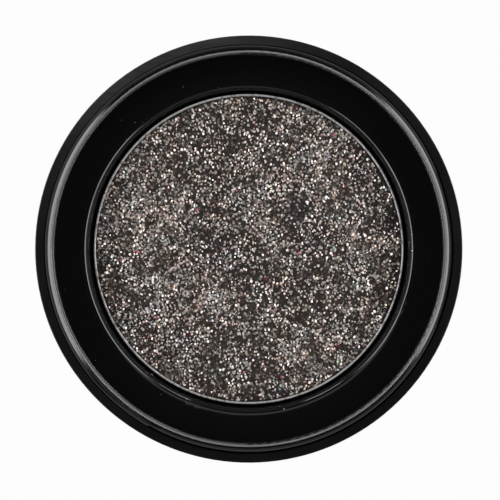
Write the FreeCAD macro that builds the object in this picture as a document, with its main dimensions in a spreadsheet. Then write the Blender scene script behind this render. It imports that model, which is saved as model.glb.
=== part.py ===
"""Single-pan eyeshadow pot: a satin outer shell, a glossy insert with a threaded neck and a well, a metal pan of
pressed powder, and the screw lid that belongs to it, lying on the table beside the pot.

Millimetres, +Z up. The origin is the centre of the pot's underside.
"""

import FreeCAD, Part
import math
import os

import Sketcher

doc = FreeCAD.newDocument("EyeshadowPot")


# ---------------------------------------------------------------- sizes

FULL_TURN = 360

DIMENSIONS = {
    # the closed package
    "pot_diameter": 44.0,
    "shoulder_height": 7.2,
    "fit_gap": 0.05,
    # outer shell of the pot
    "shell_wall": 1.0,
    "shoulder_drop": 0.08,
    "shell_floor": 0.8,
    "foot_height": 0.4,
    "foot_width": 2.6,
    "shell_top_round": 0.1,
    "shell_foot_round": 1.1,
    "snap_height": 5.9,
    "snap_width": 0.6,
    "snap_depth": 0.2,
    "key_count": 4,
    "key_width": 2.4,
    "key_height": 2.0,
    "key_gap": 0.2,
    # glossy insert
    "neck_radius": 20.15,
    "neck_wall": 0.45,
    "rim_inner_round": 0.3,
    "rim_outer_round": 0.1,
    "rim_height": 11.8,
    "platform_height": 8.8,
    "platform_plate": 1.0,
    "skirt_wall": 1.0,
    "flange_height": 0.9,
    "well_edge_round": 1.0,
    "well_radius": 16.27,
    "well_floor_height": 4.2,
    "well_wall": 0.8,
    # thread shared by the neck and the lid
    "thread_pitch": 2.4,
    "thread_turns": 1.25,
    "neck_thread_depth": 0.6,
    "lid_thread_depth": 0.5,
    "thread_foot_width": 1.03,
    "thread_mid_width": 0.58,
    "thread_nose_width": 0.28,
    "thread_crest_width": 0.1,
    "thread_mid_share": 0.53,
    "thread_nose_share": 0.87,
    "thread_top": 11.15,
    "thread_end_azimuth": 247.0,
    "runout_angle": 7.0,
    "runout_reach": 1.0,
    "thread_embed": 0.12,
    "lid_thread_turns": 1.0,
    "lid_thread_start": 1.15,
    "lid_thread_azimuth": 14.0,
    # pan, glue and powder
    "pan_diameter": 31.84,
    "pan_wall": 0.2,
    "pan_height": 3.6,
    "pan_corner": 0.6,
    "pan_rim_round": 0.08,
    "glue_thickness": 0.2,
    "glue_radius": 13.0,
    "powder_gap": 0.02,
    "powder_depth": 0.15,
    "powder_edge_round": 0.25,
    # label under the pot
    "label_radius": 16.5,
    "label_thickness": 0.12,
    # lid
    "lid_height": 6.4,
    "lid_root_radius": 20.85,
    "lid_ceiling_height": 5.1,
    "lid_top_round": 0.9,
    "lid_foot_round": 0.25,
    "window_opening": 17.0,
    "window_lip": 0.5,
    "window_flange_radius": 18.2,
    "window_proud": 0.45,
    "window_round": 0.15,
    "seal_inner_radius": 17.8,
    "seal_outer_radius": 20.55,
    "seal_thickness": 0.6,
    "lid_place": 58.0,
}

sheet = doc.addObject("Spreadsheet::Sheet", "Sizes")
for row, (alias, number) in enumerate(DIMENSIONS.items(), start=1):
    sheet.set(f"A{row}", alias.replace("_", " "))
    sheet.set(f"B{row}", str(number))
    sheet.setAlias(f"B{row}", alias)
doc.recompute()


class Size:
    """A number from the sheet together with the expression that gives it."""

    def __init__(self, text, value):
        self.text = text
        self.value = value

    def _with(self, sign, other, result):
        text = other.text if isinstance(other, Size) else repr(other)
        return Size(f"({self.text} {sign} {text})", result)

    def __add__(self, other):
        return self._with("+", other, self.value + number(other))

    def __sub__(self, other):
        return self._with("-", other, self.value - number(other))

    def __mul__(self, other):
        return self._with("*", other, self.value * number(other))

    def __truediv__(self, other):
        return self._with("/", other, self.value / number(other))


def number(thing):
    return thing.value if isinstance(thing, Size) else float(thing)


def size(alias):
    return Size(f"Sizes.{alias}", float(getattr(sheet, alias)))


# ---------------------------------------------------------------- drawing helpers

ORIGIN_POINT = (-1, 1)
HORIZONTAL_AXIS = -1
VERTICAL_AXIS = -2


def new_body(label):
    body = doc.addObject("PartDesign::Body", label)
    body.Label = label
    return body


def origin_feature(body, role):
    return next(f for f in body.Origin.OriginFeatures if f.Role == role)


def hold_coordinate(sketch, corner, kind, axis, coordinate):
    """Fix one coordinate of a line's start point, measured from the sketch's origin."""
    value = number(coordinate)
    if value == 0:
        sketch.addConstraint(Sketcher.Constraint("PointOnObject", corner, 1, axis))
        return
    ends = ORIGIN_POINT + (corner, 1) if value > 0 else (corner, 1) + ORIGIN_POINT
    index = sketch.addConstraint(Sketcher.Constraint(kind, *ends, abs(value)))
    if isinstance(coordinate, Size):
        sign = "" if value > 0 else "-1 * "
        sketch.setExpression(f"Constraints[{index}]", sign + coordinate.text)


def outline(body, name, points, plane="XZ_Plane"):
    """Closed straight-sided sketch whose corners follow the sheet."""
    sketch = body.newObject("Sketcher::SketchObject", name)
    sketch.AttachmentSupport = (origin_feature(body, plane), [""])
    sketch.MapMode = "FlatFace"
    corners = [FreeCAD.Vector(number(x), number(y), 0) for x, y in points]
    for start, end in zip(corners, corners[1:] + corners[:1]):
        sketch.addGeometry(Part.LineSegment(start, end), False)
    for corner, (x, y) in enumerate(points):
        before = (corner - 1) % len(points)
        sketch.addConstraint(Sketcher.Constraint("Coincident", before, 2, corner, 1))
        hold_coordinate(sketch, corner, "DistanceX", VERTICAL_AXIS, x)
        hold_coordinate(sketch, corner, "DistanceY", HORIZONTAL_AXIS, y)
    return sketch


def revolve(body, name, points):
    """Turn an outline of (radius, height) corners about the body's Z axis."""
    sketch = outline(body, name + "_outline", points)
    turned = body.newObject("PartDesign::Revolution", name)
    turned.Profile = sketch
    turned.ReferenceAxis = (sketch, ["V_Axis"])
    turned.Angle = FULL_TURN
    doc.recompute()
    return turned


def ring_edge(shape, radius, height):
    """Name of the circular edge of that radius at that height."""
    for index, edge in enumerate(shape.Edges, start=1):
        curve = edge.Curve
        if isinstance(curve, Part.Circle):
            off = abs(curve.Radius - number(radius)) + abs(curve.Center.z - number(height))
            if off < 1e-4:
                return f"Edge{index}"
    raise ValueError(f"no round edge of radius {number(radius)} at height {number(height)}")


def round_rings(body, name, radius, rings):
    """Round the circular edges that lie at each (radius, height) of rings."""
    base = body.Tip
    fillet = body.newObject("PartDesign::Fillet", name)
    fillet.Base = (base, [ring_edge(base.Shape, r, z) for r, z in rings])
    fillet.setExpression("Radius", radius.text)
    doc.recompute()
    return fillet


def raise_sketch(sketch, height, azimuth=0.0):
    """Lift a horizontal sketch to a height and turn it about the vertical axis."""
    turn = FreeCAD.Rotation(FreeCAD.Vector(0, 0, 1), azimuth)
    sketch.AttachmentOffset = FreeCAD.Placement(FreeCAD.Vector(0, 0, number(height)), turn)
    sketch.setExpression("AttachmentOffset.Base.z", height.text)


def around(body, name, feature, count):
    """Repeat a feature evenly about the body's Z axis."""
    pattern = body.newObject("PartDesign::PolarPattern", name)
    pattern.Originals = [feature]
    pattern.Axis = (origin_feature(body, "Z_Axis"), [""])
    pattern.Angle = FULL_TURN
    pattern.setExpression("Occurrences", count.text)
    body.Tip = pattern
    doc.recompute()
    return pattern


def cut_checked(body, pocket, base):
    """Make sure that a cut has really removed material."""
    doc.recompute()
    if body.Shape.Volume >= base.Shape.Volume - 1e-6:
        raise ValueError(f"{pocket.Name} removed nothing")


def ridge_side(root, crest, foot, start_height, sign):
    """One flank of the ridge from its sunk foot to its rounded crest, above (+1) or below (-1) the middle."""
    reach = crest - root
    steps = [
        (foot, size("thread_foot_width")),
        (root + reach * size("thread_mid_share"), size("thread_mid_width")),
        (root + reach * size("thread_nose_share"), size("thread_nose_width")),
        (crest, size("thread_crest_width")),
    ]
    return [(radius, start_height + width / 2 * sign) for radius, width in steps]


def thread_ridge(body, name, root, crest, start_height, turns, start_azimuth):
    """Right-hand helical ridge standing from root to crest radius, with its foot sunk into the wall."""
    away = -1 if number(crest) > number(root) else 1
    foot = root + size("thread_embed") * away
    lower = ridge_side(root, crest, foot, start_height, -1)
    upper = ridge_side(root, crest, foot, start_height, 1)
    sketch = outline(body, name + "_outline", lower + upper[::-1])
    about_vertical = FreeCAD.Rotation(FreeCAD.Vector(0, 1, 0), start_azimuth)
    sketch.AttachmentOffset = FreeCAD.Placement(FreeCAD.Vector(), about_vertical)
    ridge = body.newObject("PartDesign::AdditiveHelix", name)
    ridge.Profile = sketch
    ridge.ReferenceAxis = (sketch, ["V_Axis"])
    ridge.Mode = "pitch-turns-angle"
    ridge.setExpression("Pitch", size("thread_pitch").text)
    ridge.setExpression("Turns", turns.text)
    ridge.Angle = 0
    ridge.Growth = 0
    doc.recompute()
    return ridge


def run_out(body, name, root, crest, azimuth, side, ridge_height):
    """Slant a ridge's end down to the wall. side is +1 if the ridge lies on past azimuth, -1 if before."""
    base = body.Tip
    reach = size("runout_reach")
    beyond = crest + (crest - root)
    slant = math.radians(DIMENSIONS["runout_angle"])
    corners = [
        (root, 0),
        (beyond, 0),
        (crest * math.cos(slant), crest * (side * math.sin(slant))),
    ]
    sketch = outline(body, name + "_outline", corners, plane="XY_Plane")
    raise_sketch(sketch, ridge_height + reach, azimuth)
    pocket = body.newObject("PartDesign::Pocket", name)
    pocket.Profile = sketch
    pocket.setExpression("Length", (reach * 2).text)
    cut_checked(body, pocket, base)
    return pocket


# ---------------------------------------------------------------- sizes worked out from the sheet

gap = size("fit_gap")
pot_radius = size("pot_diameter") / 2
bore_radius = pot_radius - size("shell_wall")
floor_top = size("foot_height") + size("shell_floor")
neck_radius = size("neck_radius")
neck_inner = neck_radius - size("neck_wall")
crest_radius = neck_radius + size("neck_thread_depth")
lid_root = size("lid_root_radius")
lid_crest = lid_root - size("lid_thread_depth")
key_inner = neck_radius - size("skirt_wall") - size("key_gap")
key_half = size("key_width") / 2


# ---------------------------------------------------------------- the pot

def make_base_shell():
    """Satin outer shell: a shallow cup with a foot ring, a snap groove and keys that stop the insert turning."""
    body = new_body("base_shell")
    foot_inner = pot_radius - size("shell_foot_round") - size("foot_width")
    shoulder = size("shoulder_height")
    shoulder_edge = shoulder - size("shoulder_drop")
    groove_radius = bore_radius + size("snap_depth")
    groove_low = size("snap_height")
    groove_high = groove_low + size("snap_width")
    revolve(body, "shell_cup", [
        (0, size("foot_height")),
        (foot_inner, size("foot_height")),
        (foot_inner, 0),
        (pot_radius, 0),
        (pot_radius, shoulder_edge),
        (bore_radius, shoulder),
        (bore_radius, groove_high),
        (groove_radius, groove_high),
        (groove_radius, groove_low),
        (bore_radius, groove_low),
        (bore_radius, floor_top),
        (0, floor_top),
    ])
    round_rings(body, "shell_foot_edge", size("shell_foot_round"), [(pot_radius, 0)])
    top_rings = [(pot_radius, shoulder_edge), (bore_radius, shoulder)]
    round_rings(body, "shell_top_edges", size("shell_top_round"), top_rings)
    sketch = outline(body, "key_outline", [
        (key_inner, key_half * -1),
        (groove_radius, key_half * -1),
        (groove_radius, key_half),
        (key_inner, key_half),
    ], plane="XY_Plane")
    raise_sketch(sketch, size("foot_height"))
    key = body.newObject("PartDesign::Pad", "key")
    key.Profile = sketch
    key.setExpression("Length", (size("shell_floor") + size("key_height")).text)
    doc.recompute()
    around(body, "keys", key, size("key_count"))
    return body


def make_neck_insert():
    """Glossy insert: threaded neck, platform, well for the pan, and a skirt that snaps into the shell."""
    body = new_body("neck_insert")
    rim = size("rim_height")
    platform = size("platform_height")
    platform_under = platform - size("platform_plate")
    well_radius = size("well_radius")
    well_outer = well_radius + size("well_wall")
    well_floor = size("well_floor_height")
    skirt_inner = neck_radius - size("skirt_wall")
    skirt_bottom = floor_top + gap
    flange_radius = bore_radius - gap
    bead_radius = flange_radius + size("snap_depth")
    bead_low = size("snap_height") + gap
    bead_high = bead_low + size("snap_width") - gap * 2
    flange_top = bead_low + size("flange_height")
    revolve(body, "insert_wall", [
        (0, well_floor - size("well_wall")),
        (well_outer, well_floor - size("well_wall")),
        (well_outer, platform_under),
        (skirt_inner, platform_under),
        (skirt_inner, skirt_bottom),
        (neck_radius, skirt_bottom),
        (neck_radius, bead_low),
        (bead_radius, bead_low),
        (bead_radius, bead_high),
        (flange_radius, bead_high),
        (flange_radius, flange_top),
        (neck_radius, flange_top),
        (neck_radius, rim),
        (neck_inner, rim),
        (neck_inner, platform),
        (well_radius, platform),
        (well_radius, well_floor),
        (0, well_floor),
    ])
    round_rings(body, "rim_inner_edge", size("rim_inner_round"), [(neck_inner, rim)])
    round_rings(body, "rim_outer_edge", size("rim_outer_round"), [(neck_radius, rim)])
    round_rings(body, "well_edge", size("well_edge_round"), [(well_radius, platform)])

    base = body.Tip
    notch_half = key_half + gap
    sketch = outline(body, "notch_outline", [
        (key_inner - gap, notch_half * -1),
        (bore_radius, notch_half * -1),
        (bore_radius, notch_half),
        (key_inner - gap, notch_half),
    ], plane="XY_Plane")
    raise_sketch(sketch, skirt_bottom)
    notch = body.newObject("PartDesign::Pocket", "notch")
    notch.Profile = sketch
    notch.Reversed = True
    notch.setExpression("Length", (size("key_height") + gap).text)
    cut_checked(body, notch, base)
    around(body, "notches", notch, size("key_count"))

    top = size("thread_top")
    turns = size("thread_turns")
    pitch = size("thread_pitch")
    start_height = top - pitch * turns
    end_azimuth = DIMENSIONS["thread_end_azimuth"]
    start_azimuth = end_azimuth - FULL_TURN * DIMENSIONS["thread_turns"]
    thread_ridge(body, "neck_thread", neck_radius, crest_radius, start_height, turns, start_azimuth)
    run_out(body, "thread_top_end", neck_radius, crest_radius, end_azimuth, -1, top)
    run_out(body, "thread_low_end", neck_radius, crest_radius, start_azimuth, 1, start_height)
    return body


def make_pan():
    """Drawn metal pan with a rounded foot and a rolled-smooth rim."""
    body = new_body("powder_pan")
    radius = size("pan_diameter") / 2
    wall = size("pan_wall")
    height = size("pan_height")
    revolve(body, "pan_cup", [
        (0, 0),
        (radius, 0),
        (radius, height),
        (radius - wall, height),
        (radius - wall, wall),
        (0, wall),
    ])
    round_rings(body, "pan_foot", size("pan_corner"), [(radius, 0)])
    round_rings(body, "pan_inner_foot", size("pan_corner") - wall, [(radius - wall, wall)])
    round_rings(body, "pan_rim", size("pan_rim_round"), [(radius, height), (radius - wall, height)])
    body.setExpression("Placement.Base.z", (size("well_floor_height") + size("glue_thickness")).text)
    return body


def make_glue():
    """Glue disc between the pan and the floor of the well."""
    body = new_body("pan_adhesive")
    radius = size("glue_radius")
    thickness = size("glue_thickness")
    revolve(body, "glue_disc", [(0, 0), (radius, 0), (radius, thickness), (0, thickness)])
    body.setExpression("Placement.Base.z", size("well_floor_height").text)
    return body


def make_powder():
    """Pressed cake that fills the pan to just under its rim."""
    body = new_body("pressed_powder")
    wall = size("pan_wall")
    clear = size("powder_gap")
    radius = size("pan_diameter") / 2 - wall - clear
    low = wall + clear
    high = size("pan_height") - size("powder_depth")
    revolve(body, "cake", [(0, low), (radius, low), (radius, high), (0, high)])
    round_rings(body, "cake_foot", size("pan_corner") - wall, [(radius, low)])
    round_rings(body, "cake_edge", size("powder_edge_round"), [(radius, high)])
    body.setExpression("Placement.Base.z", (size("well_floor_height") + size("glue_thickness")).text)
    return body


def make_label():
    """Blank label stuck in the recess under the pot."""
    body = new_body("base_label")
    radius = size("label_radius")
    thickness = size("label_thickness")
    revolve(body, "label_disc", [(0, 0), (radius, 0), (radius, thickness), (0, thickness)])
    body.setExpression("Placement.Base.z", (size("foot_height") - thickness).text)
    return body


# ---------------------------------------------------------------- the lid, beside the pot

def put_beside_pot(body):
    body.setExpression("Placement.Base.x", size("lid_place").text)
    return body


def make_lid_ring():
    """Screw cap with an internal thread and a lip around the window."""
    body = new_body("lid_ring")
    top = size("lid_height")
    opening = size("window_opening")
    lip_under = top - size("window_lip")
    pocket_radius = size("window_flange_radius") + gap
    ceiling = size("lid_ceiling_height")
    revolve(body, "cap", [
        (lid_root, 0),
        (pot_radius, 0),
        (pot_radius, top),
        (opening, top),
        (opening, lip_under),
        (pocket_radius, lip_under),
        (pocket_radius, ceiling),
        (lid_root, ceiling),
    ])
    round_rings(body, "cap_top_edge", size("lid_top_round"), [(pot_radius, top)])
    round_rings(body, "cap_small_edges", size("lid_foot_round"), [(pot_radius, 0), (opening, top)])

    start_height = size("lid_thread_start")
    turns = size("lid_thread_turns")
    pitch = size("thread_pitch")
    start_azimuth = DIMENSIONS["lid_thread_azimuth"]
    end_azimuth = start_azimuth + FULL_TURN * DIMENSIONS["lid_thread_turns"]
    end_height = start_height + pitch * turns
    thread_ridge(body, "lid_thread", lid_root, lid_crest, start_height, turns, start_azimuth)
    run_out(body, "lid_thread_low_end", lid_root, lid_crest, start_azimuth, 1, start_height)
    run_out(body, "lid_thread_top_end", lid_root, lid_crest, end_azimuth, -1, end_height)
    return put_beside_pot(body)


def make_lid_window():
    """Clear stepped disc: its flange sits under the ring's lip and its centre fills the opening."""
    body = new_body("lid_window")
    flange_radius = size("window_flange_radius")
    centre_radius = size("window_opening") - gap
    low = size("lid_ceiling_height")
    flange_top = size("lid_height") - size("window_lip") - gap
    centre_top = flange_top + size("window_proud")
    revolve(body, "window_disc", [
        (0, low),
        (flange_radius, low),
        (flange_radius, flange_top),
        (centre_radius, flange_top),
        (centre_radius, centre_top),
        (0, centre_top),
    ])
    round_rings(body, "window_edge", size("window_round"), [(centre_radius, centre_top)])
    return put_beside_pot(body)


def make_lid_seal():
    """Soft ring that the neck's rim presses on; the thread below it keeps it in the lid."""
    body = new_body("lid_seal")
    high = size("lid_ceiling_height") - gap
    low = high - size("seal_thickness")
    inner = size("seal_inner_radius")
    outer = size("seal_outer_radius")
    revolve(body, "seal_ring", [(inner, low), (outer, low), (outer, high), (inner, high)])
    return put_beside_pot(body)


# ---------------------------------------------------------------- build, check and write

def check(parts):
    for item in doc.Objects:
        if "Invalid" in item.State or "Error" in item.State:
            raise ValueError(f"{item.Label} failed: {item.State}")
    for part in parts:
        shape = part.Shape
        if shape.isNull() or not shape.isValid() or len(shape.Solids) != 1:
            raise ValueError(f"{part.Label} is not one valid solid")


def write(parts):
    os.makedirs("parts", exist_ok=True)
    for part in parts:
        part.Shape.exportStep(f"parts/{part.Label}.step")
        print(f"{part.Label}: {part.Shape.Volume:.1f} mm3, {part.Shape.BoundBox}")


parts = [
    make_base_shell(),
    make_neck_insert(),
    make_pan(),
    make_glue(),
    make_powder(),
    make_label(),
    make_lid_ring(),
    make_lid_window(),
    make_lid_seal(),
]
doc.recompute()
check(parts)
write(parts)
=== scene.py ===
"""Looks of the single-pan eyeshadow pot and its screw lid. Metres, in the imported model's own frame."""
import math

import bpy
import numpy as np
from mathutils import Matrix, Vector, noise
from mathutils.geometry import delaunay_2d_cdt


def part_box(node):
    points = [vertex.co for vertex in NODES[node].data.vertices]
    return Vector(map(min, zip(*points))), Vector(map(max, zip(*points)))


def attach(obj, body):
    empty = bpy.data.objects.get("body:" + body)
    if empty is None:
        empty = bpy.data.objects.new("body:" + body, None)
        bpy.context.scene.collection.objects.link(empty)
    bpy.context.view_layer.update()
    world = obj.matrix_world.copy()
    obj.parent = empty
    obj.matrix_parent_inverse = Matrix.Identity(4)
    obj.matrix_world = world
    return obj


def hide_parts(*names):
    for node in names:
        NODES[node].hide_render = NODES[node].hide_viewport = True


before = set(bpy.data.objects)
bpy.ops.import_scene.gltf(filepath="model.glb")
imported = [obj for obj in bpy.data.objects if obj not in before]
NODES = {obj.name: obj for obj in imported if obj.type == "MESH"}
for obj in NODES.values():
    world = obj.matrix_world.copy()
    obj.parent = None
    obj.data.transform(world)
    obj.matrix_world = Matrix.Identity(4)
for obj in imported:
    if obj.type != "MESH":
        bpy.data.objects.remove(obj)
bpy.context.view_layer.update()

MM = 0.001
SEED = 20


# ---------------------------------------------------------------- shader graph helpers

class Graph:
    """Short ways to add and link shader nodes."""

    FIRST_COLOUR, SECOND_COLOUR, MIXED_COLOUR = 6, 7, 2

    def __init__(self, tree):
        self.tree = tree
        tree.nodes.clear()

    def add(self, kind, inputs=None, **settings):
        node = self.tree.nodes.new(kind)
        for name, value in settings.items():
            setattr(node, name, value)
        for name, value in (inputs or {}).items():
            self.feed(node.inputs[name], value)
        return node

    def feed(self, socket, value):
        if isinstance(value, bpy.types.NodeSocket):
            self.tree.links.new(value, socket)
        else:
            socket.default_value = value

    def math(self, operation, first, second=0.0, clamp=False):
        node = self.add("ShaderNodeMath", operation=operation, use_clamp=clamp)
        self.feed(node.inputs[0], first)
        self.feed(node.inputs[1], second)
        return node.outputs[0]

    def times(self, first, second, clamp=False):
        return self.math("MULTIPLY", first, second, clamp)

    def plus(self, first, second, clamp=False):
        return self.math("ADD", first, second, clamp)

    def minus(self, first, second):
        return self.math("SUBTRACT", first, second)

    def over(self, first, second):
        return self.math("DIVIDE", first, second)

    def larger(self, first, second):
        return self.math("MAXIMUM", first, second)

    def vector(self, operation, first, second=(0, 0, 0)):
        node = self.add("ShaderNodeVectorMath", operation=operation)
        self.feed(node.inputs[0], first)
        self.feed(node.inputs[1], second)
        return node

    def remap(self, value, low, high, new_low=0.0, new_high=1.0, smooth=True):
        kind = "SMOOTHSTEP" if smooth else "LINEAR"
        inputs = {"Value": value, "From Min": low, "From Max": high, "To Min": new_low, "To Max": new_high}
        return self.add("ShaderNodeMapRange", inputs, interpolation_type=kind).outputs[0]

    def mix(self, factor, first, second, blend_type="MIX"):
        node = self.add("ShaderNodeMix", data_type="RGBA", blend_type=blend_type)
        self.feed(node.inputs[0], factor)
        self.feed(node.inputs[self.FIRST_COLOUR], first)
        self.feed(node.inputs[self.SECOND_COLOUR], second)
        return node.outputs[self.MIXED_COLOUR]

    def noise(self, place, scale, detail=2.0, roughness=0.5):
        inputs = {"Vector": place, "Scale": scale, "Detail": detail, "Roughness": roughness}
        return self.add("ShaderNodeTexNoise", inputs).outputs["Fac"]

    def cells(self, place, scale, feature="F1"):
        node = self.add("ShaderNodeTexVoronoi", {"Vector": place, "Scale": scale}, feature=feature)
        return node.outputs["Distance"]

    def bump(self, height, distance, strength, normal=None):
        inputs = {"Height": height, "Distance": distance, "Strength": strength}
        if normal is not None:
            inputs["Normal"] = normal
        return self.add("ShaderNodeBump", inputs).outputs[0]

    def blend(self, factor, first, second):
        """Mix two shaders."""
        node = self.add("ShaderNodeMixShader")
        for socket, value in zip(node.inputs, (factor, first, second)):
            self.feed(socket, value)
        return node.outputs[0]

    def emission(self, strength):
        return self.add("ShaderNodeEmission", {"Color": colour(1.0), "Strength": strength}).outputs[0]

    def finish(self, surface, kind="ShaderNodeOutputMaterial"):
        self.add(kind, {"Surface": surface})


def colour(red, green=None, blue=None):
    if green is None:
        return (red, red, red, 1.0)
    return (red, green, blue, 1.0)


def new_material(name):
    """A material, its graph, and the place on the object in mm."""
    material = bpy.data.materials.new(name)
    material.use_nodes = True
    graph = Graph(material.node_tree)
    place = graph.add("ShaderNodeTexCoord").outputs["Object"]
    in_mm = graph.vector("SCALE", place)
    in_mm.inputs["Scale"].default_value = 1 / MM
    return material, graph, in_mm.outputs[0]


def principled(graph, **inputs):
    named = {name.replace("_", " "): value for name, value in inputs.items()}
    return graph.add("ShaderNodeBsdfPrincipled", named).outputs[0]


def stretched(graph, place, turn, across, along):
    """Coordinates turned about Z (degrees), then scaled. Marks are fine across and long along."""
    inputs = {"Vector": place, "Rotation": (0, 0, math.radians(turn)), "Scale": (along, across, along)}
    return graph.add("ShaderNodeMapping", inputs).outputs[0]


def edge_mask(graph, radius):
    """Near 1 on worn corners, 0 on flats."""
    soft = graph.add("ShaderNodeBevel", {"Radius": radius}, samples=6).outputs[0]
    true_normal = graph.add("ShaderNodeNewGeometry").outputs["Normal"]
    same = graph.vector("DOT_PRODUCT", soft, true_normal).outputs["Value"]
    return graph.remap(same, low=0.999, high=0.93)


def flat_length(graph, x, y):
    return graph.math("SQRT", graph.plus(graph.times(x, x), graph.times(y, y)))


def ring_coordinates(graph, place, centre_x=0.0):
    """(radius, angle, height) about the pot's or the lid's axis, in mm and radians."""
    shifted = graph.vector("SUBTRACT", place, (centre_x, 0, 0)).outputs[0]
    x, y, z = graph.add("ShaderNodeSeparateXYZ", {"Vector": shifted}).outputs
    return flat_length(graph, x, y), graph.math("ARCTAN2", y, x), z


def ring_space(graph, ring, radius_scale, angle_scale, height_scale):
    """Ring coordinates as a noise's coordinates, so that its marks run around the axis."""
    radius, angle, height = ring
    inputs = {
        "X": graph.times(radius, radius_scale),
        "Y": graph.times(angle, angle_scale),
        "Z": graph.times(height, height_scale),
    }
    return graph.add("ShaderNodeCombineXYZ", inputs).outputs[0]


# ---------------------------------------------------------------- places taken from the frame and the CAD

def outer_radius(node):
    low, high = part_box(node)
    return (high.x - low.x) / 2


def middle(node):
    low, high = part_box(node)
    return (low + high) / 2


CENTRE_OF_LID = middle("lid_ring").x
NECK_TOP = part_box("neck_insert")[1].z
POWDER_LOW, POWDER_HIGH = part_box("pressed_powder")
POWDER_RADIUS = outer_radius("pressed_powder")
# The neck's rim, and the rounded edge between the platform and the well.
NECK_RIM_RADIUS = 19.93 * MM
PLATFORM = 8.8 * MM
WELL_EDGE_ROUND = 1.0 * MM
WELL_EDGE_RADIUS = 17.27 * MM


# ---------------------------------------------------------------- materials (lengths in mm unless times MM)

PLASTIC_IOR = 1.5
ACRYLIC_IOR = 1.49

SATIN_BLACK = colour(0.005)
SATIN_STREAK = colour(0.008)
SATIN_WORN = colour(0.009)
WORN_EDGE = 0.25 * MM
# The satin plastic is painted paler around one azimuth, fading to both sides: a painted sheen where light
# falls on that side.
SHEEN_AZIMUTH = math.radians(118)
SHEEN_REACH = math.radians(62)
PAINTED_SHEEN_COLOUR = colour(0.05, 0.051, 0.0505)

GLOSS_BLACK = colour(0.0058)
GLOSS_ROUGHNESS = 0.075
DUST_COLOUR = colour(0.045, 0.04, 0.036)
# A thin pale, rougher line runs along the top of the neck's rim, and the rim's top edge is paler too.
PALE_LINE_RADIUS = 20.03
PALE_LINE_HALF = 0.11
PALE_LINE_COLOUR = colour(0.38, 0.375, 0.37)
RIM_COLOUR = colour(0.16, 0.155, 0.155)
RIM_STARTS_BELOW = 0.12
RIM_FULL_BELOW = 0.02

PAN_DULL = colour(0.75, 0.74, 0.72)
PAN_BRIGHT = colour(0.98, 0.97, 0.95)
PAN_METALLIC = 0.55
SMEARED_POWDER = colour(0.07, 0.058, 0.05)

BINDER_DARK = colour(0.008, 0.0034, 0.0016)
BINDER_LIGHT = colour(0.025, 0.0143, 0.0098)
SILVER_DULL = colour(0.19, 0.157, 0.128)
SILVER_BRIGHT = colour(0.83, 0.75, 0.685)
FLAKE_METALLIC = 0.9

WINDOW_CLEAR = colour(0.985, 0.988, 0.988)
WINDOW_CLOUDY = colour(0.965, 0.972, 0.975)
WINDOW_PASSES = colour(0.92)

FOAM_DARK = colour(0.6, 0.59, 0.57)
FOAM_LIGHT = colour(0.8, 0.79, 0.77)
FOAM_TRACK = colour(0.35, 0.33, 0.31)
FOAM_ROUGHNESS = 0.7
TRACK_OUTSIDE = 0.35
TRACK_INSIDE = 0.15

PAPER_DARK = colour(0.66, 0.655, 0.64)
PAPER_LIGHT = colour(0.8, 0.795, 0.775)
PAPER_SOIL = colour(0.45, 0.43, 0.39)
SOIL_STARTS = 14.2
SOIL_FULL = 16.6

GLUE_DARK = colour(0.62, 0.56, 0.42)
GLUE_LIGHT = colour(0.74, 0.7, 0.58)
GLUE_ROUGHNESS = 0.35


def satin_black(name, centre_x):
    """Spark-eroded satin black plastic with fine handling streaks, slightly polished edges and a painted
    sheen on one side.
    """
    material, graph, place = new_material(name)
    grain = graph.noise(place, scale=7.0, detail=3.0, roughness=0.6)
    cloud = graph.noise(place, scale=0.22, detail=3.0)
    streak_space = stretched(graph, place, turn=-38, across=5.5, along=0.16)
    streak = graph.noise(streak_space, scale=1.0, detail=4.0, roughness=0.65)
    streaks = graph.remap(streak, low=0.56, high=0.74)
    hair_space = stretched(graph, place, turn=21, across=16.0, along=0.5)
    hairs = graph.remap(graph.noise(hair_space, scale=1.0), low=0.68, high=0.78)
    worn = edge_mask(graph, WORN_EDGE)
    angle = ring_coordinates(graph, place, centre_x / MM)[1]
    # Painted sheen: paler around one azimuth, patchy and following the streaks.
    off = graph.math("ABSOLUTE", graph.minus(angle, SHEEN_AZIMUTH))
    patchy = graph.remap(cloud, low=0.2, high=0.6, new_low=0.6, new_high=1.0)
    painted_sheen = graph.times(graph.remap(off, low=SHEEN_REACH, high=0.0), patchy)
    brushed = graph.remap(streak, low=0.36, high=0.64, new_low=0.7, new_high=1.15)
    painted_sheen = graph.times(painted_sheen, brushed, clamp=True)
    base = graph.mix(graph.times(streaks, 0.4), SATIN_BLACK, SATIN_STREAK)
    base = graph.mix(graph.times(worn, 0.25), base, SATIN_WORN)
    base = graph.mix(painted_sheen, base, PAINTED_SHEEN_COLOUR)
    rough = graph.remap(cloud, low=0.3, high=0.7, new_low=0.34, new_high=0.4)
    rough = graph.minus(rough, graph.times(streaks, 0.05))
    rough = graph.minus(rough, graph.times(worn, 0.06))
    rough = graph.plus(rough, graph.times(hairs, 0.08))
    normal = graph.bump(grain, distance=0.004 * MM, strength=0.9)
    normal = graph.bump(hairs, distance=-0.003 * MM, strength=0.7, normal=normal)
    graph.finish(principled(graph, Base_Color=base, Roughness=rough, Normal=normal, IOR=PLASTIC_IOR))
    return material


def settled_dust(graph, place):
    """1 on a few large specks and on patches of fine ones, 0 elsewhere."""
    speck_noise = graph.noise(place, scale=0.6, detail=1.0)
    speck_size = graph.remap(speck_noise, low=0.56, high=0.8, new_low=0.0, new_high=0.05, smooth=False)
    speck = graph.math("LESS_THAN", graph.cells(place, scale=0.85), speck_size)
    fine_speck = graph.math("LESS_THAN", graph.cells(place, scale=4.5), 0.05)
    patchy = graph.remap(graph.noise(place, scale=0.45), low=0.6, high=0.75)
    return graph.larger(speck, graph.times(fine_speck, patchy))


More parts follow.
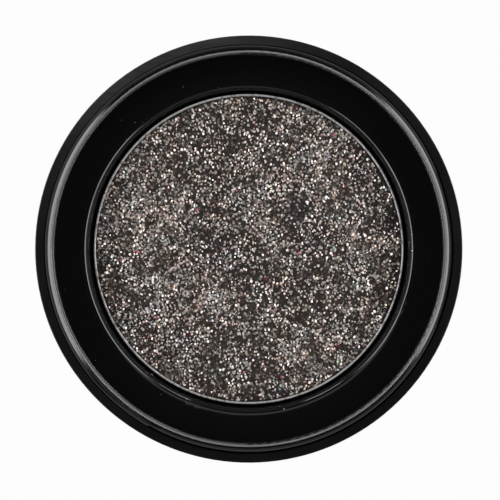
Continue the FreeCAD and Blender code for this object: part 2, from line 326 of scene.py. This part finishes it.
def gloss_black(name):
    """Polished black plastic: settled dust, hairline rubs around the axis and a slight moulding ripple."""
    material, graph, place = new_material(name)
    ring = ring_coordinates(graph, place)
    radius, _, height = ring
    ripple = graph.noise(place, scale=0.35)
    around = ring_space(graph, ring, radius_scale=16.0, angle_scale=1.6, height_scale=12.0)
    rubs = graph.remap(graph.noise(around, scale=1.0, detail=3.0, roughness=0.6), low=0.62, high=0.8)
    dust = settled_dust(graph, place)
    outward = graph.remap(radius, low=PALE_LINE_RADIUS - PALE_LINE_HALF, high=PALE_LINE_RADIUS)
    inward = graph.remap(radius, low=PALE_LINE_RADIUS + PALE_LINE_HALF, high=PALE_LINE_RADIUS)
    at_top = graph.remap(height, low=NECK_TOP / MM - RIM_STARTS_BELOW, high=NECK_TOP / MM - RIM_FULL_BELOW)
    uneven = graph.remap(graph.noise(around, scale=0.3), low=0.3, high=0.6, new_low=0.55, new_high=1.0)
    # The thin pale, rougher line along the top of the neck's rim.
    pale_line = graph.times(graph.times(graph.times(outward, inward), at_top), uneven)
    base = graph.mix(graph.times(dust, 0.7), GLOSS_BLACK, DUST_COLOUR)
    base = graph.mix(graph.times(at_top, 0.6), base, RIM_COLOUR)
    base = graph.mix(pale_line, base, PALE_LINE_COLOUR)
    rough = graph.plus(graph.times(rubs, 0.1), GLOSS_ROUGHNESS)
    rough = graph.plus(rough, graph.times(pale_line, 0.3))
    rough = graph.plus(rough, graph.times(dust, 0.6), clamp=True)
    normal = graph.bump(ripple, distance=0.02 * MM, strength=0.35)
    normal = graph.bump(rubs, distance=0.0006 * MM, strength=0.5, normal=normal)
    normal = graph.bump(dust, distance=0.02 * MM, strength=0.6, normal=normal)
    graph.finish(principled(graph, Base_Color=base, Roughness=rough, Normal=normal, IOR=PLASTIC_IOR))
    return material


def pan_metal(name):
    """Drawn aluminium: fine lines around the wall, scuffs, and powder smeared on the rim."""
    material, graph, place = new_material(name)
    ring = ring_coordinates(graph, place)
    around = ring_space(graph, ring, radius_scale=30.0, angle_scale=2.0, height_scale=30.0)
    lines = graph.noise(around, scale=1.0, detail=3.0)
    scuff = graph.noise(place, scale=1.6, detail=4.0, roughness=0.7)
    smear = graph.remap(graph.noise(place, scale=1.5, detail=4.0, roughness=0.7), low=0.5, high=0.62)
    base = graph.mix(graph.times(smear, 0.7), graph.mix(scuff, PAN_DULL, PAN_BRIGHT), SMEARED_POWDER)
    metallic = graph.minus(PAN_METALLIC, graph.times(smear, 0.4))
    rough = graph.remap(lines, low=0.3, high=0.7, new_low=0.3, new_high=0.42)
    rough = graph.plus(rough, graph.times(smear, 0.25))
    normal = graph.bump(lines, distance=0.003 * MM, strength=0.8)
    normal = graph.bump(smear, distance=0.02 * MM, strength=0.6, normal=normal)
    graph.finish(principled(graph, Base_Color=base, Metallic=metallic, Roughness=rough, Normal=normal))
    return material


def glitter_powder(name):
    """Pressed powder: every facet is a flake with its own shine; soot-brown binder shows between them."""
    material, graph, place = new_material(name)
    flake = graph.add("ShaderNodeAttribute", attribute_name="flake").outputs["Fac"]
    tint = graph.add("ShaderNodeAttribute", attribute_name="tint").outputs["Color"]
    crumbs = graph.noise(place, scale=9.0, detail=3.0, roughness=0.6)
    binder = graph.mix(crumbs, BINDER_DARK, BINDER_LIGHT)
    silver = graph.mix(graph.remap(flake, low=0.42, high=0.8), SILVER_DULL, SILVER_BRIGHT)
    shine = graph.remap(flake, low=0.16, high=0.62)
    base = graph.mix(1.0, graph.mix(shine, binder, silver), tint, blend_type="MULTIPLY")
    metallic = graph.times(shine, FLAKE_METALLIC)
    rough = graph.remap(flake, low=0.2, high=1.0, new_low=0.62, new_high=0.4, smooth=False)
    normal = graph.bump(crumbs, distance=0.012 * MM, strength=0.6)
    graph.finish(principled(graph, Base_Color=base, Metallic=metallic, Roughness=rough, Normal=normal))
    return material


def clear_window(name):
    """Clear acrylic with hairline scratches. Soft light and shadows pass straight through it."""
    material, graph, place = new_material(name)
    hair = graph.noise(stretched(graph, place, turn=33, across=11.0, along=0.18), scale=1.0)
    cross = graph.noise(stretched(graph, place, turn=-52, across=13.0, along=0.22), scale=1.0)
    hairs = graph.larger(graph.remap(hair, low=0.72, high=0.78), graph.remap(cross, low=0.73, high=0.79))
    cloud = graph.noise(place, scale=0.18, detail=3.0)
    rough = graph.remap(cloud, low=0.35, high=0.75, new_low=0.0, new_high=0.015)
    rough = graph.plus(rough, graph.times(hairs, 0.1))
    normal = graph.bump(hairs, distance=-0.0015 * MM, strength=0.5)
    tone = graph.mix(cloud, WINDOW_CLEAR, WINDOW_CLOUDY)
    glass = principled(graph, Base_Color=tone, Roughness=rough, Normal=normal, IOR=ACRYLIC_IOR,
                       Transmission_Weight=1.0)
    path = graph.add("ShaderNodeLightPath").outputs
    indirect = graph.larger(path["Is Shadow Ray"], path["Is Diffuse Ray"])
    clear = graph.add("ShaderNodeBsdfTransparent", {"Color": WINDOW_PASSES}).outputs[0]
    graph.finish(graph.blend(indirect, glass, clear))
    return material


def seal_foam(name):
    """White closed-cell foam liner with a pressed track where the neck's rim bites."""
    material, graph, place = new_material(name)
    cells = graph.cells(place, scale=5.5, feature="SMOOTH_F1")
    radius = ring_coordinates(graph, place, CENTRE_OF_LID / MM)[0]
    from_rim = graph.math("ABSOLUTE", graph.minus(radius, NECK_RIM_RADIUS / MM))
    track = graph.remap(from_rim, low=TRACK_OUTSIDE, high=TRACK_INSIDE)
    base = graph.mix(cells, FOAM_DARK, FOAM_LIGHT)
    base = graph.mix(graph.times(track, 0.35), base, FOAM_TRACK)
    normal = graph.bump(cells, distance=0.03 * MM, strength=0.5)
    normal = graph.bump(track, distance=-0.04 * MM, strength=0.8, normal=normal)
    graph.finish(principled(graph, Base_Color=base, Roughness=FOAM_ROUGHNESS, Normal=normal))
    return material


def label_paper(name):
    """Blank coated paper: fibres, a slight tooth and faintly soiled edges."""
    material, graph, place = new_material(name)
    radius = ring_coordinates(graph, place)[0]
    fibre_space = stretched(graph, place, turn=12, across=4.0, along=1.1)
    fibres = graph.noise(fibre_space, scale=1.0, detail=4.0, roughness=0.65)
    cloud = graph.noise(place, scale=0.3, detail=3.0)
    at_edge = graph.remap(radius, low=SOIL_STARTS, high=SOIL_FULL)
    soiled = graph.times(at_edge, graph.remap(cloud, low=0.3, high=0.7))
    base = graph.mix(graph.times(soiled, 0.4), graph.mix(fibres, PAPER_DARK, PAPER_LIGHT), PAPER_SOIL)
    rough = graph.remap(fibres, low=0.3, high=0.7, new_low=0.5, new_high=0.7)
    normal = graph.bump(fibres, distance=0.01 * MM, strength=0.5)
    graph.finish(principled(graph, Base_Color=base, Roughness=rough, Normal=normal))
    return material


def cured_glue(name):
    """Yellowish hot-melt glue."""
    material, graph, place = new_material(name)
    flow = graph.noise(place, scale=0.7, detail=3.0)
    base = graph.mix(flow, GLUE_DARK, GLUE_LIGHT)
    normal = graph.bump(flow, distance=0.05 * MM, strength=0.5)
    graph.finish(principled(graph, Base_Color=base, Roughness=GLUE_ROUGHNESS, Normal=normal))
    return material


# ---------------------------------------------------------------- meshes

def add_piece(name, points, faces, material):
    """A flat-shaded piece of powder that rides with the pot."""
    mesh = bpy.data.meshes.new(name)
    mesh.from_pydata([tuple(p) for p in points], [], [tuple(f) for f in faces])
    mesh.update()
    mesh.polygons.foreach_set("use_smooth", [False] * len(mesh.polygons))
    mesh.materials.append(material)
    piece = bpy.data.objects.new(name, mesh)
    bpy.context.scene.collection.objects.link(piece)
    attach(piece, "pot")
    return piece


def shade_faces(mesh, flake, tint):
    """Store each face's shine and its tint for the powder material."""
    rows = (("flake", "FLOAT", "value", flake), ("tint", "FLOAT_COLOR", "color", tint))
    for name, kind, field, values in rows:
        attribute = mesh.attributes.new(name, kind, "FACE")
        attribute.data.foreach_set(field, np.asarray(values, np.float32).ravel())


def wave(place, size, shift=(0, 0, 0)):
    """Smooth noise, about -0.5 to 0.5, with bumps of some mm. Shifts keep the patterns apart."""
    return noise.noise(Vector(place) / (size * MM) + Vector(shift))


def clamp(value, low, high):
    return max(low, min(high, value))


# Patches of the powder are warmer, cooler or greener. Patch sizes in mm.
WARM_PATCH = 0.5
WARM_AREA = 2.2
WARM_AREA_SHARE = 0.6
GREEN_PATCH = 0.65
RED_SWING = 0.18
GREEN_SWING = 0.09
BLUE_SWING = 0.1
# Share of the flakes and their tint.
COLOURED_FLAKES = (
    (0.006, (0.5, 0.13, 0.2)),
    (0.003, (0.45, 0.75, 0.55)),
    (0.002, (0.55, 0.75, 0.9)),
)
COLOURED_GROUP = 2.4
GROUPING = 4.5
MOST_GROUPED = 4.0


def hue_drift(places):
    """Tints of patches a little warmer, cooler or greener than the rest."""
    tints = np.ones((len(places), 4))
    for i, (x, y, _) in enumerate(places):
        place = (x, y, 0.0)
        warm = wave(place, WARM_PATCH, shift=(11, 4, 2))
        warm += WARM_AREA_SHARE * wave(place, WARM_AREA, shift=(5, 9, 4))
        green = wave(place, GREEN_PATCH, shift=(3, 8, 13))
        tints[i, :3] = (1 + RED_SWING * warm, 1 + GREEN_SWING * green, 1 - BLUE_SWING * warm)
    return tints


def scattered_points(radius, pitch, rng):
    """A jittered triangular grid inside a circle, so that no row shows."""
    jitter = 0.42
    step_y = pitch * math.sqrt(3) / 2
    rows = int(radius / step_y) + 1
    columns = int(radius / pitch) + 1
    found = []
    for row in range(-rows, rows + 1):
        shift = 0.5 * pitch * (row % 2)
        for column in range(-columns, columns + 1):
            found.append((column * pitch + shift, row * step_y))
    found = np.array(found) + rng.uniform(-jitter, jitter, (len(found), 2)) * pitch
    return found[np.hypot(found[:, 0], found[:, 1]) < radius]


# The cake's face. Lengths in mm; the fall at the rim is in shares of the radius, the clearance in facets.
FACET_PITCH = 0.232
EDGE_CLEARANCE = 0.6
FACE_BELOW_TOP = 0.06
GRAIN_SPREAD = 0.05
GRAIN_LIMIT = 0.1
SWELL_SIZE = 3.2
SWELL_HEIGHT = 0.035
EDGE_FALL = 0.22
FALL_STARTS = 0.975
FALL_SPAN = 0.025
# Shine of the facets: many dull ones and few bright ones, with darker and brighter areas.
SHINE_SHAPE = (0.75, 2.4)
SHINE_PATCH = 1.1
SHINE_PATCH_SHARE = 0.26
SHINE_AREA = 5.0
SHINE_AREA_SHARE = 0.28
WALL_SHINE = 0.1
SAME_POINT = 1e-9
ON_RIM = 1e-7


def powder_height(x, y):
    """Slow unevenness of the pressed face, falling away near the rim."""
    share = math.hypot(x, y) / POWDER_RADIUS
    slow = wave((x, y, 0.0), SWELL_SIZE) * SWELL_HEIGHT * MM
    fall = EDGE_FALL * MM * max(0.0, (share - FALL_STARTS) / FALL_SPAN) ** 2
    return slow - fall


def make_powder(material):
    """The cake: a finely faceted face, a wall down from its rim, and a flat foot."""
    rng = np.random.default_rng(SEED)
    pitch = FACET_PITCH * MM
    inner = scattered_points(POWDER_RADIUS - EDGE_CLEARANCE * pitch, pitch, rng)
    around = int(2 * math.pi * POWDER_RADIUS / pitch)
    angles = np.arange(around) * 2 * math.pi / around
    edge = np.column_stack([np.cos(angles), np.sin(angles)]) * POWDER_RADIUS
    flat = np.vstack([edge, inner])
    corners, _, triangles = delaunay_2d_cdt([Vector(p) for p in flat], [], [], 0, SAME_POINT)[:3]
    grain = rng.normal(0.0, GRAIN_SPREAD * MM, len(corners))
    face_level = POWDER_HIGH.z - FACE_BELOW_TOP * MM
    points = []
    for (x, y), lift in zip(corners, grain):
        lift = clamp(lift, -GRAIN_LIMIT * MM, GRAIN_LIMIT * MM)
        points.append((x, y, face_level + powder_height(x, y) + lift))
    rim = [i for i, (x, y, _) in enumerate(points) if math.hypot(x, y) > POWDER_RADIUS - ON_RIM]
    rim.sort(key=lambda i: math.atan2(points[i][1], points[i][0]))
    foot_start = len(points)
    points += [(points[i][0], points[i][1], POWDER_LOW.z) for i in rim]
    faces = [tuple(t) for t in triangles]
    for k, corner in enumerate(rim):
        after = (k + 1) % len(rim)
        faces.append((corner, foot_start + k, foot_start + after, rim[after]))
    faces.append(tuple(range(foot_start + len(rim) - 1, foot_start - 1, -1)))
    piece = add_piece("powder_cake", points, faces, material)
    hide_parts("pressed_powder")
    shade_cake(piece.data, len(triangles), rng)


def shade_cake(mesh, top_count, rng):
    """Give each facet of the cake its shine."""
    centres = np.array([p.center for p in mesh.polygons])
    drift = np.array([wave(c, SHINE_PATCH) for c in centres])
    broad = np.array([wave(c, SHINE_AREA, shift=(7, 3, 1)) for c in centres])
    flake = rng.beta(*SHINE_SHAPE, len(centres)) + SHINE_PATCH_SHARE * drift + SHINE_AREA_SHARE * broad
    flake[top_count:] = WALL_SHINE
    shade_faces(mesh, np.clip(flake, 0, 1), hue_drift(centres))


class Plates:
    """Gathers many small six-sided plates into one mesh."""

    SIDES = 6
    FACES = SIDES + 2
    THICKNESS = 0.02 * MM

    def __init__(self):
        self.points = []
        self.faces = []

    def add(self, centre, first, up, size):
        """One plate: first points at a corner, up stands on the plate."""
        second = up.cross(first)
        start = len(self.points)
        for level in (0.0, self.THICKNESS):
            for k in range(self.SIDES):
                turn = 2 * math.pi * k / self.SIDES
                arm = first * math.cos(turn) + second * math.sin(turn)
                self.points.append(centre + arm * size + up * level)
        low = [start + k for k in range(self.SIDES)]
        high = [corner + self.SIDES for corner in low]
        self.faces += [tuple(reversed(low)), tuple(high)]
        for k in range(self.SIDES):
            after = (k + 1) % self.SIDES
            self.faces.append((low[k], low[after], high[after], high[k]))

    def finish(self, name, material, shines, tints):
        """Make the piece; shines and tints hold one entry per plate."""
        piece = add_piece(name, self.points, self.faces, material)
        shade_faces(piece.data, np.repeat(shines, self.FACES), np.repeat(tints, self.FACES, axis=0))


def plate_tints(centres, rng):
    """Nearly all flakes are silver; a few, in loose groups, are crimson, green or sky blue."""
    tints = hue_drift(centres)
    pick = rng.random(len(centres))
    grouped = np.array([wave(c, COLOURED_GROUP, shift=(1, 7, 5)) for c in centres])
    grouped = np.clip(1.0 + GROUPING * grouped, 0.0, MOST_GROUPED)
    start = np.zeros(len(centres))
    for share, hue in COLOURED_FLAKES:
        end = start + share * grouped
        tints[(pick >= start) & (pick < end), :3] = hue
        start = end
    return tints


# The glitter in the cake's face. Lengths in mm.
GLITTER_PITCH = 0.33
GLITTER_INSET = 0.15
GLITTER_BELOW_TOP = 0.045
GLITTER_LIFT = (-0.01, 0.04)
GLITTER_SIZE = (0.08, 0.165)
GLITTER_TILT_X = 0.46
GLITTER_TILT_Y = 0.27
CLUSTER_PATCH = 0.75
CLUSTER_PATCH_SHARE = 0.8
CLUSTER_AREA = 2.6
CLUSTER_AREA_SHARE = 0.75
SPARSEST = 0.22
CLUSTER_FILL = 0.95
GLITTER_SHINE = (0.2, 0.85)
CLUSTER_SHINE = 0.55
NEIGHBOUR_PATCH = 0.42
NEIGHBOUR_SHINE = 0.35


def make_glitter(material):
    """Coarse glitter lying in the cake's face at all angles."""
    rng = np.random.default_rng(SEED + 2)
    plates = Plates()
    shines, centres = [], []
    for x, y in scattered_points(POWDER_RADIUS - GLITTER_INSET * MM, GLITTER_PITCH * MM, rng):
        place = (x, y, 0.0)
        fine = wave(place, CLUSTER_PATCH)
        broad = wave(place, CLUSTER_AREA, shift=(2, 5, 9))
        cluster = clamp(0.5 + CLUSTER_PATCH_SHARE * fine + CLUSTER_AREA_SHARE * broad, 0.0, 1.0)
        if rng.random() > SPARSEST + CLUSTER_FILL * cluster:
            continue
        level = POWDER_HIGH.z - GLITTER_BELOW_TOP * MM + powder_height(x, y)
        up = Vector((rng.normal(0, GLITTER_TILT_X), rng.normal(0, GLITTER_TILT_Y), 1.0)).normalized()
        turn = rng.uniform(0, math.pi)
        first = Vector((math.cos(turn), math.sin(turn), 0))
        first = (first - up * first.dot(up)).normalized()
        size = rng.uniform(*GLITTER_SIZE) * MM
        centre = Vector((x, y, level + rng.uniform(*GLITTER_LIFT) * MM))
        plates.add(centre, first, up, size)
        near = wave(place, NEIGHBOUR_PATCH, shift=(6, 1, 3))
        shine = rng.uniform(*GLITTER_SHINE) + CLUSTER_SHINE * cluster + NEIGHBOUR_SHINE * near
        shines.append(clamp(shine, 0.0, 1.0))
        centres.append(centre)
    plates.finish("glitter_flakes", material, shines, plate_tints(centres, rng))


# Loose flakes: how many, and the least and greatest lean in degrees around the well's rounded edge.
# Those that don't lean lie on the platform, some mm beyond that edge.
FALLOUT = ((26, 15.0, 80.0), (6, 0.0, 0.0))
FALLOUT_BEYOND = (0.1, 2.2)
FALLOUT_SIZE = (0.03, 0.075)
FALLOUT_TILT = 0.12
FALLOUT_LIFT = 0.012
FALLOUT_SHINE = (0.25, 0.95)


def make_fallout(material):
    """Loose flakes shed by the cake, on the well's rounded edge and on the platform."""
    rng = np.random.default_rng(SEED + 1)
    plates = Plates()
    arc_level = Vector((0, 0, PLATFORM - WELL_EDGE_ROUND))
    for count, flattest, steepest in FALLOUT:
        for _ in range(count):
            angle = rng.uniform(0, 2 * math.pi)
            lean = rng.uniform(math.radians(flattest), math.radians(steepest))
            outward = Vector((math.cos(angle), math.sin(angle), 0))
            up = Vector((0, 0, math.cos(lean))) - outward * math.sin(lean)
            beyond = 0.0 if steepest else rng.uniform(*FALLOUT_BEYOND) * MM
            centre = outward * (WELL_EDGE_RADIUS + beyond) + arc_level + up * WELL_EDGE_ROUND
            centre += up * FALLOUT_LIFT * MM
            sideways = Vector((-math.sin(angle), math.cos(angle), 0))
            tangent = sideways.cross(up)
            size = rng.uniform(*FALLOUT_SIZE) * MM
            tilted = up + tangent * rng.normal(0, FALLOUT_TILT) + sideways * rng.normal(0, FALLOUT_TILT)
            tilted.normalize()
            first = (tangent - tilted * tangent.dot(tilted)).normalized()
            plates.add(centre, first, tilted, size)
    count = sum(row[0] for row in FALLOUT)
    plates.finish("powder_fallout", material, rng.uniform(*FALLOUT_SHINE, count), np.ones((count, 4)))


# ---------------------------------------------------------------- light, floor and camera

# Long panels of light. Degrees: azimuth that the panel faces, first and last azimuth, lowest and highest
# elevation; then the strength, and the feathers sideways and up in degrees.
SOFTBOXES = (
    (5.0, -46.0, 52.0, 29.0, 39.0, 7.1, 12.0, 2.0),
    (174.0, 134.0, 212.0, 29.0, 39.0, 7.1, 14.0, 2.0),
    (5.0, -45.0, 55.0, 4.0, 30.0, 0.55, 14.0, 6.0),
    (174.0, 130.0, 215.0, 4.0, 30.0, 0.55, 14.0, 6.0),
    (222.0, 207.0, 238.0, 24.5, 31.0, 6.0, 8.0, 2.0),
    (63.0, 57.0, 69.0, 5.5, 11.0, 8.0, 1.0, 1.0),
    (117.0, 110.0, 124.5, 5.5, 11.0, 8.0, 2.0, 1.0),
    (100.0, 38.0, 152.0, 46.0, 66.0, 0.75, 16.0, 10.0),
    (270.0, 225.0, 315.0, 3.0, 26.0, 0.4, 14.0, 6.0),
    (90.0, 60.0, 130.0, 3.0, 22.0, 0.2, 14.0, 6.0),
)
LIGHT_COLOUR = colour(0.985, 0.975, 1.0)
ROOM_LEVEL = 0.02
BACKDROP_LEVEL = 0.98
LIGHT_MAP_PIXELS = 1024
NEARLY_ZERO = 1e-6
LEAST_FACING = 0.05

TABLE_COLOUR = colour(0.8)
TABLE_FILL = 1.0
TABLE_SHARE = 0.5
TABLE_HALF = 3.0
# The square table is shifted so that its diagonal seam passes neither under the pot nor under the lid.
TABLE_SHIFT = 0.4
TABLE_DROP = 0.02 * MM
# Cosine of the angle from straight above at which the even glow starts, and at which it is full.
GLOW_STARTS = 0.96
GLOW_FULL = 0.995

CAMERA_HEIGHT = 350 * MM
CAMERA_BEHIND = -3.5 * MM
CAMERA_LENS = 239.85
CAMERA_SENSOR = 36.0
CAMERA_SHIFT = (0.00245, -0.00043)
CAMERA_CLIP = (0.01, 20.0)


def toward(graph, x, y, azimuth):
    """How far (x, y) reaches in the direction of the azimuth."""
    return graph.plus(graph.times(x, math.cos(azimuth)), graph.times(y, math.sin(azimuth)))


def softbox_light(graph, direction, panel):
    """Light of one long low panel, soft at its edges. Its ends look lower, as a straight panel's do."""
    middle_azimuth, first, last, low, high, strength, side_feather, up_feather = panel
    x, y, z = direction
    flat = graph.plus(flat_length(graph, x, y), NEARLY_ZERO)
    along = toward(graph, x, y, math.radians((first + last) / 2))
    off = graph.math("ARCCOSINE", graph.over(along, flat))
    half = math.radians((last - first) / 2)
    soft = math.radians(side_feather)
    inside = graph.remap(off, low=half + soft / 2, high=half - soft / 2)
    facing = graph.over(toward(graph, x, y, math.radians(middle_azimuth)), flat)
    slope = graph.over(graph.over(z, flat), graph.larger(facing, LEAST_FACING))
    height = graph.math("ARCTANGENT", slope)
    bottom, top = math.radians(low), math.radians(high)
    soft = math.radians(up_feather)
    above = graph.remap(height, low=bottom - soft / 2, high=bottom + soft / 2)
    below = graph.remap(height, low=top + soft / 2, high=top - soft / 2)
    return graph.times(graph.times(inside, graph.times(above, below)), strength)


def light_studio():
    """Softboxes in a dim room. The camera sees an even pale backdrop instead, also through the window."""
    world = bpy.data.worlds.new("studio")
    bpy.context.scene.world = world
    world.use_nodes = True
    graph = Graph(world.node_tree)
    around = graph.add("ShaderNodeTexCoord").outputs["Generated"]
    direction = graph.add("ShaderNodeSeparateXYZ", {"Vector": around}).outputs
    total = ROOM_LEVEL
    for panel in SOFTBOXES:
        total = graph.plus(total, softbox_light(graph, direction, panel))
    lit = graph.add("ShaderNodeBackground", {"Color": LIGHT_COLOUR, "Strength": total}).outputs[0]
    seen = graph.add("ShaderNodeBackground", {"Color": colour(1.0), "Strength": BACKDROP_LEVEL}).outputs[0]
    path = graph.add("ShaderNodeLightPath").outputs
    to_camera = graph.larger(path["Is Camera Ray"], path["Is Transmission Ray"])
    graph.finish(graph.blend(to_camera, lit, seen), "ShaderNodeOutputWorld")
    world.cycles.sampling_method = "MANUAL"
    world.cycles.sample_map_resolution = LIGHT_MAP_PIXELS


def table_look():
    """Pale table top, evenly bright from straight above like a light table, and unseen from below."""
    material, graph, _ = new_material("pale_table")
    to_camera = graph.add("ShaderNodeLightPath").outputs["Is Camera Ray"]
    geometry = graph.add("ShaderNodeNewGeometry").outputs
    matt = graph.add("ShaderNodeBsdfDiffuse", {"Color": TABLE_COLOUR}).outputs[0]
    surface = graph.blend(TABLE_SHARE, matt, graph.emission(TABLE_FILL))
    facing = graph.vector("DOT_PRODUCT", geometry["Incoming"], geometry["Normal"]).outputs["Value"]
    overhead = graph.times(graph.remap(facing, low=GLOW_STARTS, high=GLOW_FULL), to_camera)
    surface = graph.blend(overhead, surface, graph.emission(BACKDROP_LEVEL))
    clear = graph.add("ShaderNodeBsdfTransparent").outputs[0]
    surface = graph.blend(graph.times(geometry["Backfacing"], to_camera), surface, clear)
    graph.finish(surface)
    return material


def make_floor():
    """The table top, a hair below the parts."""
    near, far = -TABLE_HALF - TABLE_SHIFT, TABLE_HALF - TABLE_SHIFT
    corners = [(-TABLE_HALF, near, 0), (TABLE_HALF, near, 0), (TABLE_HALF, far, 0), (-TABLE_HALF, far, 0)]
    mesh = bpy.data.meshes.new("floor")
    mesh.from_pydata(corners, [], [(0, 1, 2, 3)])
    mesh.materials.append(table_look())
    floor = bpy.data.objects.new("floor", mesh)
    floor.location.z = -TABLE_DROP
    bpy.context.scene.collection.objects.link(floor)


def place_camera():
    """Straight down over the pot; the lid lies outside this view."""
    data = bpy.data.cameras.new("camera")
    camera = bpy.data.objects.new("camera", data)
    bpy.context.scene.collection.objects.link(camera)
    data.sensor_width = CAMERA_SENSOR
    data.lens = CAMERA_LENS
    camera.location = (0.0, CAMERA_BEHIND, CAMERA_HEIGHT)
    data.shift_x = CAMERA_SHIFT[0]
    data.shift_y = CAMERA_SHIFT[1] - CAMERA_BEHIND / CAMERA_HEIGHT * data.lens / data.sensor_width
    data.clip_start, data.clip_end = CAMERA_CLIP
    bpy.context.scene.camera = camera


# ---------------------------------------------------------------- put it together

def dress(node, material):
    mesh = NODES[node].data
    mesh.materials.clear()
    mesh.materials.append(material)


scene = bpy.context.scene
scene.view_settings.view_transform = "Standard"
scene.view_settings.look = "None"

powder_look = glitter_powder("glitter_powder")
dress("base_shell", satin_black("satin_black_pot", 0.0))
dress("neck_insert", gloss_black("gloss_black_insert"))
dress("powder_pan", pan_metal("pan_metal"))
dress("pan_adhesive", cured_glue("cured_glue"))
dress("pressed_powder", powder_look)
dress("base_label", label_paper("label_paper"))
dress("lid_ring", satin_black("satin_black_lid", CENTRE_OF_LID))
dress("lid_window", clear_window("clear_window"))
dress("lid_seal", seal_foam("seal_foam"))
make_powder(powder_look)
make_glitter(powder_look)
make_fallout(powder_look)
light_studio()
make_floor()
place_camera()
